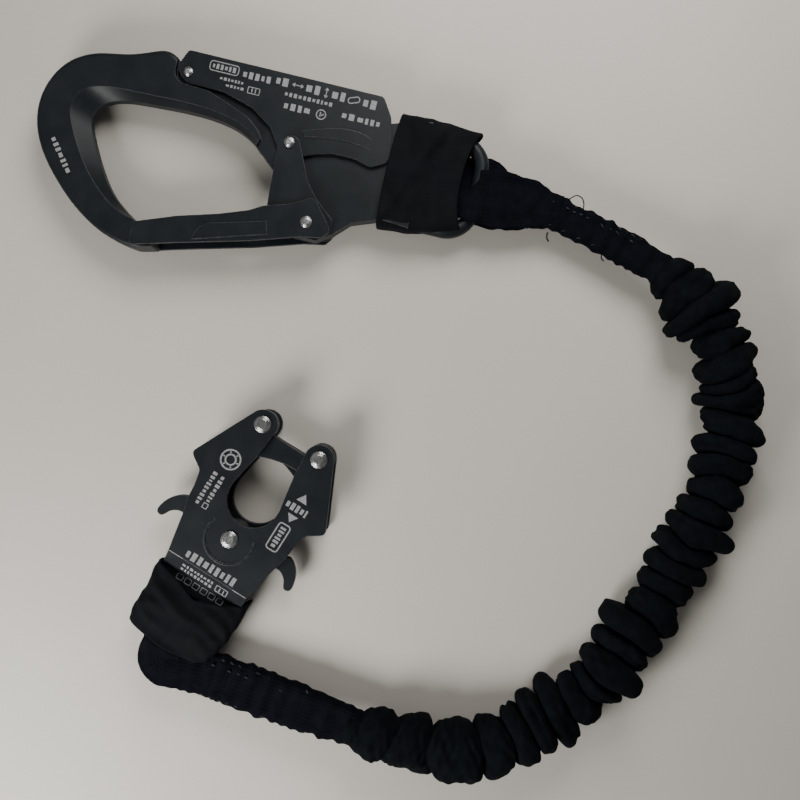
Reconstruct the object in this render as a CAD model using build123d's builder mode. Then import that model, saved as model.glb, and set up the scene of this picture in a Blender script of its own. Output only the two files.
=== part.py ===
"""Shock absorbing lanyard: a double-action hook, a webbing strap with a gathered elastic sleeve
and a two-jaw push-on connector.  Millimetres, +Z up, the whole lanyard lies on z = 0."""
import os
from math import atan2, cos, degrees, hypot, radians, sin, tan

from build123d import *

os.makedirs("parts", exist_ok=True)

# ---------------------------------------------------------------- driving dimensions
MID_Z = 8.4                 # middle plane of both metal connectors above the floor
HOOK_X, HOOK_Y = 15.7, 46.8     # gate pivot of the hook
HOOK_TURN = -13.6           # direction of the hook's spine
FROG_X, FROG_Y = -12.0, -67.5   # centre rivet of the push-on connector
FROG_TURN = -32.3           # direction of the connector's cross axis

CLAW_T = 5.5                # half thickness of the forged claw
WEB_T = 3.0                 # half thickness of the spine under the lever
LEVER_Z = (3.2, 4.6)        # layer of the lever's side plates
LINK_Z = (4.8, 6.0)         # layer of the link plates
GATE_Z = (6.2, 7.4)         # layer of the gate's side plates
HEAD_Z = 8.4                # top of the tallest rivet heads
EYE_X, EYE_Y = 57.4, 26.7   # eye bar of the hook, in the hook's own plan
EYE_BAR_R = 2.7
PIVOT_A = (-54.8, 43.5)     # lever pivot
PIVOT_B = (-12.9, 26.9)     # lever to link
PIVOT_E = (6.4, -1.0)       # link to gate
PIN_R = 1.6                 # rivet shanks
FIT = 0.05                  # radial running clearance

PLATE_Z = (5.0, 7.0)        # layer of the connector's side plates
JAW_Z = (0.2, 3.4)          # layer of a jaw and of its trigger
ROD_Z = (3.6, 4.7)          # layer of a pull rod
JAW_X, JAW_Y = 12.0, 41.5   # jaw pivot
LOBE_R = 5.4
THROAT_R, THROAT_Y = 9.8, 16.3
FOLD_Y = -14.8
TAIL_BAR_Y = -37.0
TAIL_BAR_R = 2.7
ROD_T = (-18.0, 2.0)        # trigger end of a pull rod
ROD_J = (-8.72, 43.79)      # jaw end of a pull rod
ROD_PLAY = (-0.72, -0.50)   # how far the rod's pin shifts in the jaw as the jaw opens
HUB_R = 6.3                 # hub of a trigger, clear of the throat

SLEEVE_R, SLEEVE_WALL = 11.5, 1.8   # gathered sleeve
CORE_R = 4.5                # elastic core inside it
WEBBING_T = 2.0             # one layer of webbing
UPPER_W, UPPER_T = 13.0, 5.0    # stitched webbing at the hook end
LOWER_W, LOWER_T = 17.0, 6.4    # stitched webbing at the connector end

SLEEVE_ROUTE = [(144.7, 30.8), (162.7, 14.0), (172.9, -15.0), (166.2, -47.5), (139.2, -97.5),
                (118.2, -124.0), (85.7, -143.5), (55.7, -145.7), (29.7, -135.5)]
SLEEVE_Z = 11.7
UPPER_ROUTE = [(105.3, 52.3, 8.4), (126.2, 43.1, 8.8), (147.2, 28.8, 11.2)]
LOWER_ROUTE = [(-21.6, -117.7, 8.4), (7.7, -128.7, 8.6), (31.2, -136.1, 11.4)]

HOOK = Plane(origin=(HOOK_X, HOOK_Y, MID_Z),
             x_dir=(cos(radians(HOOK_TURN)), sin(radians(HOOK_TURN)), 0), z_dir=(0, 0, 1))
FROG = Plane(origin=(FROG_X, FROG_Y, MID_Z),
             x_dir=(cos(radians(FROG_TURN)), sin(radians(FROG_TURN)), 0), z_dir=(0, 0, 1))


def layer(zs, side):
    """Start height and thickness of a plate layer on the front (1) or the rear (-1)."""
    return (zs[0] if side > 0 else -zs[1]), zs[1] - zs[0]


def disc(plane, at, r, z0, z1, mode=Mode.ADD):
    """Upright cylinder between two heights of a plane."""
    with Locations(plane.location * Location((at[0], at[1], z0))):
        Cylinder(r, z1 - z0, align=(Align.CENTER, Align.CENTER, Align.MIN), mode=mode)


def head(plane, at, r, z0, h, side):
    """Domed rivet head standing on height z0, on the front (1) or the rear (-1)."""
    steps = ((1.0, 0.35), (0.86, 0.3), (0.62, 0.35))
    z = z0
    for k, part in steps:
        low = z if side > 0 else -(z + part * h)
        disc(plane, at, r * k, low, low + part * h)
        z += part * h


def outline(points, rounds=()):
    """Closed face through points, with (index, radius) of the rounded corners."""
    Polygon(*points, align=None)
    for i, r in rounds:
        x, y = points[i]
        fillet(min(vertices(), key=lambda q: hypot(q.X - x, q.Y - y)), r)


def route_radii(points):
    """A bend radius for every inner corner of a soft run, from its shorter leg and its turn."""
    radii = []
    for a, b, c in zip(points, points[1:], points[2:]):
        u = [b[i] - a[i] for i in range(len(a))]
        v = [c[i] - b[i] for i in range(len(a))]
        lu, lv = (sum(t * t for t in w) ** 0.5 for w in (u, v))
        turn = degrees(atan2(u[0] * v[1] - u[1] * v[0], u[0] * v[0] + u[1] * v[1]))
        radii.append(0.45 * min(lu, lv) / tan(radians(abs(turn)) / 2))
    return radii


def across(path):
    """Section plane at the start of a run, x across the run and y upwards."""
    d = path % 0
    return Plane(origin=path @ 0, x_dir=Vector(d.Y, -d.X, 0).normalized(), z_dir=d)


def save(part, name):
    part.label = name
    export_step(part, f"parts/{name}.step")
    print(f"{name:26s} {part.volume:10.1f} mm3  solids {len(part.solids())}")


# ---------------------------------------------------------------- hook: forged body
OUTER = [(-59.4, 47.5), (-64.6, 49.1), (-70.0, 47.4), (-77.1, 44.9), (-87.9, 42.7), (-97.4, 37.6),
         (-103.2, 29.0), (-105.0, 18.0), (-101.8, 6.8), (-94.0, -4.0), (-84.4, -13.0), (-73.0, -20.0),
         (-59.4, -23.2)]
INNER = [(-60.3, -13.9), (-67.4, -9.6), (-72.8, -4.9), (-79.1, 4.0), (-84.4, 13.9), (-86.1, 19.6),
         (-84.4, 24.4), (-79.0, 27.8), (-67.0, 29.6), (-53.0, 30.3), (-42.0, 29.9), (-33.6, 28.2),
         (-24.6, 23.0)]
RIDGE = [(-62.6, -13.0), (-70.4, -10.2), (-77.7, -4.4), (-84.3, 3.0), (-90.6, 13.4), (-93.2, 21.4),
         (-90.4, 28.0), (-82.4, 31.2), (-68.0, 32.0), (-53.0, 32.4), (-42.0, 31.8), (-33.0, 29.9),
         (-24.0, 24.6)]
OPEN_END = [(-18.0, 19.0), (-20.0, 0.0), (-50.0, -15.0), (-60.3, -15.7)]

with BuildPart() as hook_body:
    with BuildSketch(HOOK.offset(-CLAW_T)):
        with BuildLine():
            Spline(*OUTER)
            Polyline(OUTER[-1], (-53.0, -21.4), (-52.6, -16.6), (-24.4, 22.6), (-23.6, 26.0),
                     (-25.0, 28.6), (-30.0, 32.6), (-38.0, 35.6), (-46.0, 38.3), (-54.8, 38.8))
            ThreePointArc((-54.8, 38.8), (-58.1, 40.2), (-59.4, 43.5))
            Line((-59.4, 43.5), OUTER[0])
        make_face()
    extrude(amount=2 * CLAW_T)
    fillet([e for e in edges() if 90 < e.length < 140], 1.6)
    with BuildSketch(HOOK.offset(-CLAW_T)):
        with BuildLine():
            Polyline(*INNER[-1:], *OPEN_END, INNER[0])
            Spline(*INNER)
        make_face()
    extrude(amount=2 * CLAW_T, mode=Mode.SUBTRACT)
    for side in (1, -1):
        with BuildSketch(HOOK.offset(side * (CLAW_T + 0.1))):
            with BuildLine():
                a = Spline(*RIDGE)
                Line(a @ 1, a @ 0)
            make_face()
        with BuildSketch(HOOK.offset(side * 0.8)):
            with BuildLine():
                a = Spline(*[(x * 0.965 - 2.0, y * 0.965 + 0.3) for x, y in INNER])
                Line(a @ 1, a @ 0)
            make_face()
        loft(mode=Mode.SUBTRACT)
    with BuildSketch(HOOK.offset(-WEB_T)):
        outline([(-62.0, 46.2), (17.0, 41.6), (24.0, 44.0), (36.0, 46.4), (36.0, 7.0), (24.0, 7.7),
                 (15.0, 4.3), (9.6, -1.2), (4.0, -5.0), (-4.0, -5.2), (-13.0, -2.0), (-15.4, 3.0),
                 (-16.4, 16.2), (-24.5, 23.0), (-30.0, 31.0), (-62.0, 36.0)], [(10, 3), (7, 2)])
    extrude(amount=2 * WEB_T)
    with BuildSketch(HOOK.offset(-CLAW_T)):
        with BuildLine():
            Polyline((24.6, 44.1), (36.0, 46.4), (36.0, 41.0))
            ThreePointArc((36.0, 41.0), (27.4, EYE_Y), (36.0, 12.4))
            Polyline((36.0, 12.4), (36.0, 7.0), (24.6, 7.7), (24.6, 44.1))
        make_face()
    extrude(amount=2 * CLAW_T)
    with BuildSketch(HOOK.offset(-CLAW_T)):
        with BuildLine():
            ThreePointArc((36.0, 41.0), (27.4, EYE_Y), (36.0, 12.4))
            Line((36.0, 12.4), (36.0, 41.0))
        make_face()
    extrude(amount=2 * CLAW_T, mode=Mode.SUBTRACT)
    with BuildLine(HOOK):
        eye = FilletPolyline((34.0, EYE_Y + 16.7), (EYE_X, EYE_Y + 16.7), (EYE_X, EYE_Y - 16.7),
                             (34.0, EYE_Y - 16.7), radius=9.5)
    with BuildSketch(Plane(origin=eye @ 0, z_dir=eye % 0)):
        Circle(EYE_BAR_R)
    sweep()
    disc(HOOK, PIVOT_A, PIN_R + FIT, -CLAW_T, CLAW_T, Mode.SUBTRACT)
    disc(HOOK, (0, 0), 2.0 + FIT, -CLAW_T, CLAW_T, Mode.SUBTRACT)
save(hook_body.part, "hook_body")

# ---------------------------------------------------------------- hook: squeeze lever
LEVER = [(-56.4, 51.4), (16.4, 51.4), (20.8, 44.6), (23.8, 31.0), (22.6, 28.0), (17.5, 25.4),
         (11.0, 27.0), (3.5, 27.0), (-3.0, 25.4), (-8.4, 22.8), (-13.4, 22.2), (-17.4, 25.2),
         (-21.2, 31.0), (-29.5, 36.4), (-41.0, 39.5), (-54.8, 39.5)]
with BuildPart() as hook_lever:
    for side in (1, -1):
        z, t = layer(LEVER_Z, side)
        with BuildSketch(HOOK.offset(z)):
            outline([*LEVER, (-58.8, 43.5), (-58.4, 46.6)],
                    [(0, 1.5), (1, 2.5), (2, 5), (4, 2), (5, 2.5), (9, 3), (11, 3), (12, 4), (14, 8),
                     (15, 3.0)])
        extrude(amount=t)
    with BuildSketch(HOOK.offset(-LEVER_Z[1])):
        with Locations((-19.6, 50.65)):
            Rectangle(71.0, 1.5)
    extrude(amount=2 * LEVER_Z[1])
    for side in (1, -1):
        z, t = layer((LEVER_Z[1] - 0.1, LEVER_Z[1] + 0.45), side)
        with BuildSketch(HOOK.offset(z)):
            with BuildLine():
                top = Spline((-9.4, 32.4), (0.0, 35.6), (8.0, 36.8), (15.4, 35.4))
                low = Spline((-8.2, 30.4), (0.0, 32.0), (7.6, 32.4), (15.6, 31.4))
                Line(top @ 0, low @ 0)
                Line(top @ 1, low @ 1)
            make_face()
        extrude(amount=t)
        z, t = layer(LEVER_Z, side)
        for at in (PIVOT_A, PIVOT_B):
            disc(HOOK, at, PIN_R + FIT, z, z + t, Mode.SUBTRACT)
save(hook_lever.part, "hook_lever")

# ---------------------------------------------------------------- hook: link plates
LINK = [(-12.9, 30.5), (-9.4, 28.4), (-7.4, 24.0), (-3.0, 14.6), (1.4, 9.4), (8.8, 3.2), (9.2, -1.0),
        (6.4, -3.8), (3.9, -2.4), (-15.2, 1.2), (-15.8, 8.0), (-16.2, 16.2), (-16.6, 26.0)]
for side, label in ((1, "hook_link_front"), (-1, "hook_link_rear")):
    z, t = layer(LINK_Z, side)
    with BuildPart() as hook_link:
        with BuildSketch(HOOK.offset(z)):
            outline(LINK, [(0, 3.0), (6, 2.0), (7, 2.0), (12, 3.0), (9, 1.5)])
        extrude(amount=t)
        with BuildSketch(HOOK.offset(z)):
            with Locations((0.3, 0.7)):
                SlotOverall(10.8, 4.8, rotation=66)
        extrude(amount=t, mode=Mode.SUBTRACT)
        disc(HOOK, PIVOT_B, PIN_R + FIT, z, z + t, Mode.SUBTRACT)
        disc(HOOK, PIVOT_E, 1.1, z, z + t, Mode.SUBTRACT)
    save(hook_link.part, label)

# ---------------------------------------------------------------- hook: gate
GATE_TOP = [(-61.0, -14.5), (-45.5, -8.6), (-31.5, -4.5), (-21.0, -0.6), (-16.3, 2.2)]
GATE = [*GATE_TOP, (-7.2, 5.0), (-0.1, 9.2), (2.0, 8.0), (6.8, 2.2), (9.3, -0.8), (6.6, -4.2),
        (-1.2, -5.7), (-18.6, -11.3), (-43.8, -18.1), (-60.4, -22.8)]
with BuildPart() as hook_gate:
    for side in (1, -1):
        z, t = layer(GATE_Z, side)
        with BuildSketch(HOOK.offset(z)):
            outline(GATE, [(5, 12), (6, 1.5), (9, 2.2), (10, 2), (14, 1.2), (0, 0.8)])
        extrude(amount=t)
        z, t = layer((GATE_Z[1] - 0.1, GATE_Z[1] + 0.4), side)
        with BuildSketch(HOOK.offset(z)):
            with BuildLine():
                a = ThreePointArc((-38.6, -15.6), (-37.0, -11.0), (-32.0, -8.0))
                b = Line(a @ 1, (-14.0, -3.0))
                c = Line(b @ 1, (-12.6, -7.6))
                Line(c @ 1, a @ 0)
            make_face()
        extrude(amount=t)
    with BuildSketch(HOOK.offset(-GATE_Z[0] - 0.1)):
        outline([(-59.7, -14.0), (-45.5, -8.6), (-31.5, -4.5), (-22.5, -1.16), (-22.2, -2.8),
                 (-31.1, -6.1), (-45.1, -10.2), (-59.3, -15.4)])
    extrude(amount=2 * GATE_Z[0] + 0.2)
    for side in (1, -1):
        z, t = layer(GATE_Z, side)
        disc(HOOK, (0, 0), PIN_R, z, z + t, Mode.SUBTRACT)
        z, t = layer((GATE_Z[0], 7.0), side)
        disc(HOOK, PIVOT_E, 2.2, z, z + t, Mode.SUBTRACT)
save(hook_gate.part, "hook_gate")

# ---------------------------------------------------------------- hook: rivets, pin and springs
with BuildPart() as lever_pivot_rivet:
    disc(HOOK, PIVOT_A, PIN_R, -LEVER_Z[1] - 0.1, LEVER_Z[1] + 0.1)
    for side in (1, -1):
        head(HOOK, PIVOT_A, 1.75, LEVER_Z[1] + 0.1, 1.0, side)
save(lever_pivot_rivet.part, "lever_pivot_rivet")

with BuildPart() as link_rivets:
    for side in (1, -1):
        z, t = layer((LEVER_Z[0], LINK_Z[1] + 0.1), side)
        disc(HOOK, PIVOT_B, PIN_R, z, z + t)
        head(HOOK, PIVOT_B, 2.0, LINK_Z[1] + 0.1, 1.1, side)
save(link_rivets.part, "link_rivets")

with BuildPart() as gate_pivot_rivet:
    disc(HOOK, (0, 0), 2.0, -GATE_Z[0] + 0.05, GATE_Z[0] - 0.05)
    disc(HOOK, (0, 0), PIN_R - FIT, -GATE_Z[1] - 0.1, GATE_Z[1] + 0.1)
    for side in (1, -1):
        head(HOOK, (0, 0), 2.2, GATE_Z[1] + 0.1, HEAD_Z - GATE_Z[1] - 0.1, side)
save(gate_pivot_rivet.part, "gate_pivot_rivet")

with BuildPart() as link_pins:
    for side in (1, -1):
        z, t = layer((LINK_Z[0], 6.85), side)
        disc(HOOK, PIVOT_E, 1.1, z, z + t)
save(link_pins.part, "link_pins")

with BuildPart() as gate_spring:
    for side in (1, -1):
        for k in range(2):
            with Locations(HOOK.location * Location((0, 0, side * (3.42 + 0.74 * k)))):
                Torus(2.75, 0.34)
        with BuildSketch(Plane(origin=HOOK.from_local_coords((0.0, -2.75, side * 3.42)),
                               z_dir=HOOK.x_dir)):
            Circle(0.34)
        extrude(amount=6.0)
save(gate_spring.part, "gate_spring")

with BuildPart() as lever_spring:
    with BuildSketch(Plane(origin=HOOK.from_local_coords((0, 0, -2.0)), x_dir=HOOK.x_dir,
                           z_dir=HOOK.z_dir)):
        with BuildLine():
            a = ThreePointArc((-44.0, 45.8), (-38.0, 46.2), (-24.0, 49.8))
            b = offset(a, amount=0.5, side=Side.RIGHT, closed=True)
        make_face()
    extrude(amount=4.0)
save(lever_spring.part, "lever_spring")

# ---------------------------------------------------------------- hook: elastic keeper over the eye
with BuildPart() as upper_keeper:
    with BuildSketch(Plane(origin=HOOK.from_local_coords((25.0, EYE_Y, 0)), x_dir=HOOK.y_dir,
                           z_dir=HOOK.x_dir)):
        RectangleRounded(42.4, 14.2, 2.4)
        RectangleRounded(40.2, 11.8, 1.2, mode=Mode.SUBTRACT)
    extrude(amount=26.6)
save(upper_keeper.part, "upper_keeper")

# ---------------------------------------------------------------- strap: hook end
with BuildPart() as upper_webbing_loop:
    with BuildSketch(Plane(origin=HOOK.from_local_coords((EYE_X, EYE_Y + 9.0, 0)), x_dir=HOOK.x_dir,
                           z_dir=HOOK.y_dir * -1)):
        r0, r1, end = EYE_BAR_R + 0.15, EYE_BAR_R + 0.15 + WEBBING_T, 26.4
        with BuildLine():
            ThreePointArc((0, r1), (-r1, 0), (0, -r1))
            Polyline((0, -r1), (18.0, -2.5), (end, -2.5), (end, 2.5), (18.0, 2.5), (0, r1))
        make_face()
        with BuildLine():
            ThreePointArc((0, r0), (-r0, 0), (0, -r0))
            Polyline((0, -r0), (17.0, -0.35), (17.0, 0.35), (0, r0))
        make_face(mode=Mode.SUBTRACT)
    extrude(amount=18.0)
save(upper_webbing_loop.part, "upper_webbing_loop")

with BuildPart() as upper_stitched_webbing:
    with BuildLine():
        run = FilletPolyline(*UPPER_ROUTE, radius=route_radii(UPPER_ROUTE)[0])
    with BuildSketch(across(run)):
        RectangleRounded(UPPER_W, UPPER_T, 2.2)
    sweep()
save(upper_stitched_webbing.part, "upper_stitched_webbing")

# ---------------------------------------------------------------- strap: gathered sleeve and its core
radii = route_radii(SLEEVE_ROUTE)
print("sleeve bend radii", [round(r, 1) for r in radii])
with BuildPart() as gathered_sleeve:
    with BuildLine(Plane.XY.offset(SLEEVE_Z)):
        run = FilletPolyline(*SLEEVE_ROUTE, radius=radii)
    with BuildSketch(across(run)):
        Circle(SLEEVE_R)
        Circle(SLEEVE_R - SLEEVE_WALL, mode=Mode.SUBTRACT)
    sweep()
print("sleeve length", round(run.length, 1), "expected volume",
      round(3.14159 * (SLEEVE_R ** 2 - (SLEEVE_R - SLEEVE_WALL) ** 2) * run.length, 1))
save(gathered_sleeve.part, "gathered_sleeve")

CORE_ROUTE = [(148.6, 27.16), *SLEEVE_ROUTE[1:-1], (33.1, -136.83)]
radii = route_radii(CORE_ROUTE)
with BuildPart() as elastic_core:
    with BuildLine(Plane.XY.offset(SLEEVE_Z)):
        run = FilletPolyline(*CORE_ROUTE, radius=radii)
    with BuildSketch(across(run)):
        Circle(CORE_R)
    sweep()
print("core length", round(run.length, 1), "bend radii", [round(r, 1) for r in radii])
save(elastic_core.part, "elastic_core")

# ---------------------------------------------------------------- strap: connector end
with BuildPart() as lower_stitched_webbing:
    with BuildLine():
        run = FilletPolyline(*LOWER_ROUTE, radius=min(route_radii(LOWER_ROUTE)[0], 200.0))
    with BuildSketch(across(run)):
        RectangleRounded(LOWER_W, LOWER_T, 2.6)
    sweep()
save(lower_stitched_webbing.part, "lower_stitched_webbing")

BAR = FROG.from_local_coords((0, TAIL_BAR_Y, 0))
TURN = FROG.from_local_coords((0, TAIL_BAR_Y - 14.7, 0))
with BuildPart() as lower_webbing_loop:
    with BuildSketch(Plane(origin=FROG.from_local_coords((-8.0, TAIL_BAR_Y, 0)), x_dir=FROG.y_dir,
                           z_dir=FROG.x_dir)):
        r0, r1 = TAIL_BAR_R + 0.15, TAIL_BAR_R + 0.15 + WEBBING_T
        with BuildLine():
            ThreePointArc((0, r1), (r1, 0), (0, -r1))
            Line((0, -r1), (0, -r0))
            ThreePointArc((0, -r0), (r0, 0), (0, r0))
            Line((0, r0), (0, r1))
        make_face()
    extrude(amount=16.0)
    for side in (1, -1):
        with BuildLine():
            run = FilletPolyline((BAR.X, BAR.Y, MID_Z + side * 3.85), (TURN.X, TURN.Y, MID_Z + side * 2.0),
                                 (-22.3, -117.45, MID_Z + side * 1.6), radius=9.4)
        with BuildSketch(across(run)):
            Rectangle(16.0, WEBBING_T)
        sweep()
save(lower_webbing_loop.part, "lower_webbing_loop")

# ---------------------------------------------------------------- strap: thread
for label, route, width, top, count in (("upper_stitches", UPPER_ROUTE, UPPER_W, UPPER_T, 14),
                                        ("lower_stitches", LOWER_ROUTE, LOWER_W, LOWER_T, 13)):
    (x0, y0, z0), (x1, y1, z1) = route[0], route[1]
    long = hypot(x1 - x0, y1 - y0)
    with BuildPart() as stitches:
        for row in (-0.3, 0.3):
            for i in range(count):
                s = 2.0 + i * (0.8 * long - 3.0) / (count - 1)
                x = x0 + (x1 - x0) * s / long - (y1 - y0) / long * row * width
                y = y0 + (y1 - y0) * s / long + (x1 - x0) / long * row * width
                z = z0 + (z1 - z0) * s / long + top / 2 + 0.1
                with Locations(Location((x, y, z), (0, 0, degrees(atan2(y1 - y0, x1 - x0)) + 18))):
                    Box(1.2, 0.5, 0.5)
    save(stitches.part, label)

# ---------------------------------------------------------------- connector: side plates
EDGE = [(28.4, 19.8), (26.6, 18.3), (22.4, 15.6), (21.2, 9.8), (20.8, 4.6), (19.2, -1.2), (16.6, FOLD_Y)]
REACH = JAW_Y + LOBE_R * sin(radians(26.0))
for side, label in ((1, "connector_front_plate"), (-1, "connector_rear_plate")):
    z, t = layer(PLATE_Z, side)
    with BuildPart() as plate:
        with BuildSketch(FROG.offset(z)):
            outline([(JAW_X - LOBE_R, JAW_Y), (JAW_X, JAW_Y), (JAW_X + LOBE_R * 0.9, REACH), *EDGE,
                     *[(-x, y) for x, y in reversed(EDGE)], (-JAW_X - LOBE_R * 0.9, REACH),
                     (-JAW_X, JAW_Y), (-JAW_X + LOBE_R, JAW_Y), (-7.4, 32.0), (7.4, 32.0)],
                    [(3, 1.8), (5, 3.0), (16, 1.8), (14, 3.0)])
            with Locations((JAW_X, JAW_Y), (-JAW_X, JAW_Y)):
                Circle(LOBE_R)
            with BuildLine():
                ThreePointArc((THROAT_R, THROAT_Y), (0, THROAT_Y - THROAT_R), (-THROAT_R, THROAT_Y))
                Polyline((-THROAT_R, THROAT_Y), (-THROAT_R, THROAT_Y + 2.0), (-7.4, 32.1), (7.4, 32.1),
                         (THROAT_R, THROAT_Y + 2.0), (THROAT_R, THROAT_Y))
            make_face(mode=Mode.SUBTRACT)
        extrude(amount=t)
        with BuildSketch(Plane(origin=FROG.from_local_coords((-16.6, 0, 0)), x_dir=FROG.y_dir,
                               z_dir=FROG.x_dir)):
            with BuildLine():
                Polyline(*[(y, side * h) for y, h in ((FOLD_Y + 0.3, 5.0), (FOLD_Y + 0.3, 7.0),
                           (FOLD_Y, 7.0), (-21.6, 2.1), (-38.6, 2.1), (-38.6, 0.1), (-22.4, 0.1))],
                         close=True)
            make_face()
        extrude(amount=33.2)
        with BuildSketch(FROG.offset(-7.0)):
            outline([(-11.2, -26.0), (11.2, -26.0), (11.2, -39.0), (-11.2, -39.0)])
            outline([(16.7, -19.0), (15.2, -27.0), (15.2, -39.0), (17.5, -39.0), (17.5, -19.0)])
            outline([(-16.7, -19.0), (-15.2, -27.0), (-15.2, -39.0), (-17.5, -39.0), (-17.5, -19.0)])
        extrude(amount=14.0, mode=Mode.SUBTRACT)
        for at in ((-13.2, TAIL_BAR_Y), (13.2, TAIL_BAR_Y)):
            disc(FROG, at, 0.9, -3.0, 3.0, Mode.SUBTRACT)
        for at in ((0, 0), (JAW_X, JAW_Y), (-JAW_X, JAW_Y)):
            disc(FROG, at, PIN_R, z, z + t, Mode.SUBTRACT)
        z, t = layer((PLATE_Z[1] - 0.1, PLATE_Z[1] + 0.35), side)
        with BuildSketch(FROG.offset(z)):
            Circle(9.4)
            Circle(8.7, mode=Mode.SUBTRACT)
            with Locations((0, 12.0)):
                Rectangle(30.0, 16.6, mode=Mode.SUBTRACT)
        extrude(amount=t)
    save(plate.part, label)

with BuildPart() as tail_bar:
    with BuildSketch(Plane(origin=FROG.from_local_coords((-15.2, TAIL_BAR_Y, 0)), x_dir=FROG.y_dir,
                           z_dir=FROG.x_dir)):
        Circle(TAIL_BAR_R)
    extrude(amount=30.4)
    for x in (-13.2, 13.2):
        with BuildSketch(FROG.offset(-2.15)):
            with Locations((x, TAIL_BAR_Y)):
                Rectangle(4.1, 6.0)
        extrude(amount=4.3, mode=Mode.SUBTRACT)
        disc(FROG, (x, TAIL_BAR_Y), 0.9, -3.0, 3.0, Mode.SUBTRACT)
save(tail_bar.part, "tail_bar")

with BuildPart() as tail_bar_pins:
    for x in (-13.2, 13.2):
        disc(FROG, (x, TAIL_BAR_Y), 0.9, -2.4, 2.4)
save(tail_bar_pins.part, "tail_bar_pins")

# ---------------------------------------------------------------- connector: jaws, triggers, rods
TIP = [(-19.6, 3.0), (-22.0, 4.2), (-24.4, 3.0), (-26.8, 0.4), (-28.3, -3.4), (-28.0, -6.2),
       (-26.2, -6.6), (-24.8, -4.6), (-22.4, -2.2), (-19.2, -1.8)]
MOUTH = [(-JAW_X + 2.0, JAW_Y - 1.6), (7.0, 39.6), (7.0, 33.4)]
for turn, which, tall in ((0, "left", 1), (180, "right", -1)):
    HALF = Plane(origin=FROG.origin, x_dir=FROG.x_dir * tall, z_dir=FROG.z_dir * tall)
    with BuildPart() as jaw:
        with BuildSketch(HALF.offset(JAW_Z[0])):
            with BuildLine():
                a = Line(MOUTH[0], MOUTH[1])
                b = Line(a @ 1, MOUTH[2])
                c = ThreePointArc(b @ 1, (-0.4, 32.6), (-8.6, 29.8))
                d = Polyline(c @ 1, (-14.6, 32.0), (-16.6, 39.6), a @ 0)
            make_face()
            with Locations((-JAW_X, JAW_Y)):
                Circle(5.2)
        extrude(amount=JAW_Z[1] - JAW_Z[0])
        disc(HALF, (-JAW_X, JAW_Y), PIN_R + FIT, JAW_Z[0], JAW_Z[1], Mode.SUBTRACT)
        with BuildSketch(HALF.offset(JAW_Z[1] - 2.2)):
            with Locations((ROD_J[0] + ROD_PLAY[0] / 2, ROD_J[1] + ROD_PLAY[1] / 2)):
                SlotCenterToCenter(hypot(*ROD_PLAY), 2.1, rotation=degrees(atan2(*ROD_PLAY[::-1])))
        extrude(amount=2.2, mode=Mode.SUBTRACT)
    save(jaw.part, f"{which}_jaw")
    with BuildPart() as trigger:
        with BuildSketch(HALF.offset(JAW_Z[0])):
            Circle(HUB_R)
            with BuildLine():
                a = Spline(*TIP)
                Polyline(a @ 1, (-10.0, -3.6), (-3.0, -5.6), (-2.0, 5.6), (-14.0, 5.2), a @ 0)
            make_face()
        extrude(amount=JAW_Z[1] - JAW_Z[0])
        disc(HALF, (0, 0), PIN_R + FIT, JAW_Z[0], JAW_Z[1], Mode.SUBTRACT)
        disc(HALF, ROD_T, 0.9, JAW_Z[1] - 2.2, JAW_Z[1], Mode.SUBTRACT)
    save(trigger.part, f"{which}_trigger")
    with BuildPart() as rod:
        dx, dy = ROD_J[0] - ROD_T[0], ROD_J[1] - ROD_T[1]
        with BuildSketch(HALF.offset(ROD_Z[0])):
            with Locations(Location(((ROD_J[0] + ROD_T[0]) / 2, (ROD_J[1] + ROD_T[1]) / 2),
                                    degrees(atan2(dy, dx)))):
                SlotOverall(hypot(dx, dy) + 2.6, 2.0)
            with Locations(ROD_T, ROD_J):
                Circle(1.25)
        extrude(amount=ROD_Z[1] - ROD_Z[0])
        disc(HALF, ROD_T, 0.85, JAW_Z[1] - 2.0, ROD_Z[1])
        disc(HALF, ROD_J, 0.75, JAW_Z[1] - 2.0, ROD_Z[1])
    save(rod.part, f"{which}_pull_rod")
    with BuildPart() as spring:
        for k in range(4):
            with Locations(HALF.location * Location((-JAW_X, JAW_Y, -0.75 - 0.9 * k))):
                Torus(3.6, 0.4)
        with BuildSketch(Plane(origin=HALF.from_local_coords((-JAW_X + 3.6, JAW_Y, -0.75)),
                               z_dir=HALF.y_dir * -1)):
            Circle(0.4)
        extrude(amount=5.0)
    save(spring.part, f"{which}_jaw_spring")
    with BuildPart() as spring:
        with Locations(HALF.location * Location((0, 0, 3.95))):
            Torus(4.4, 0.4)
        with BuildSketch(Plane(origin=HALF.from_local_coords((-4.4, 0, 3.95)), z_dir=HALF.y_dir * -1)):
            Circle(0.4)
        extrude(amount=7.0)
    save(spring.part, f"{which}_trigger_spring")

with BuildPart() as jaw_spacers:
    for x, side in ((-JAW_X, -1), (JAW_X, 1)):
        z, t = layer((0.2, 4.9), side)
        disc(FROG, (x, JAW_Y), 2.9, z, z + t)
        disc(FROG, (x, JAW_Y), PIN_R + FIT, z, z + t, Mode.SUBTRACT)
save(jaw_spacers.part, "jaw_spacers")

for label, at in (("left_jaw_rivet", (-JAW_X, JAW_Y)), ("right_jaw_rivet", (JAW_X, JAW_Y)),
                  ("centre_rivet", (0, 0))):
    with BuildPart() as rivet:
        disc(FROG, at, PIN_R, -PLATE_Z[1], PLATE_Z[1])
        for side in (1, -1):
            head(FROG, at, 3.1, PLATE_Z[1], HEAD_Z - PLATE_Z[1], side)
    save(rivet.part, label)

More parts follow.
